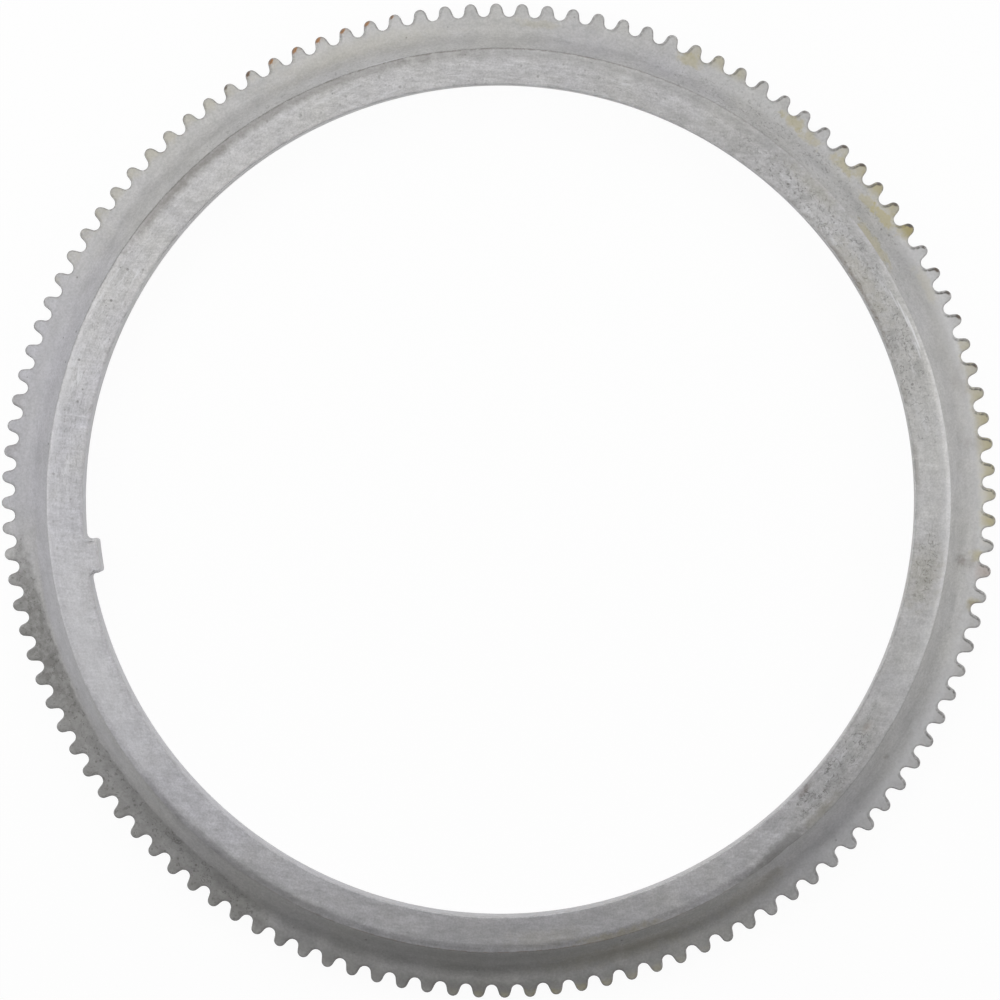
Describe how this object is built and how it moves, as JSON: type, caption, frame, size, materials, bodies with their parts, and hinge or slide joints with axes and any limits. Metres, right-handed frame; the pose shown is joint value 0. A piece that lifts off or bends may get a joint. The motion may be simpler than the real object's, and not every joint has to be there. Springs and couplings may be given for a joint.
{
  "type": "abs tone ring",
  "caption": "Toothed exciter ring that a wheel speed sensor reads, with a raised hub land, a plain bore and one key tab in the bore.",
  "frame": {"origin": "on the ring's axis, in the plane of its flat back face", "axes": "+Z along the ring's axis, from the flat back face towards the raised hub land; the key tab in the bore is on -X"},
  "size_m": [0.228, 0.228, 0.011],
  "materials": {
    "steel": "matte, as forged and turned, with light stains"
  },
  "bodies": {
    "root": {"tone_ring": "steel"}
  },
  "joints": []
}
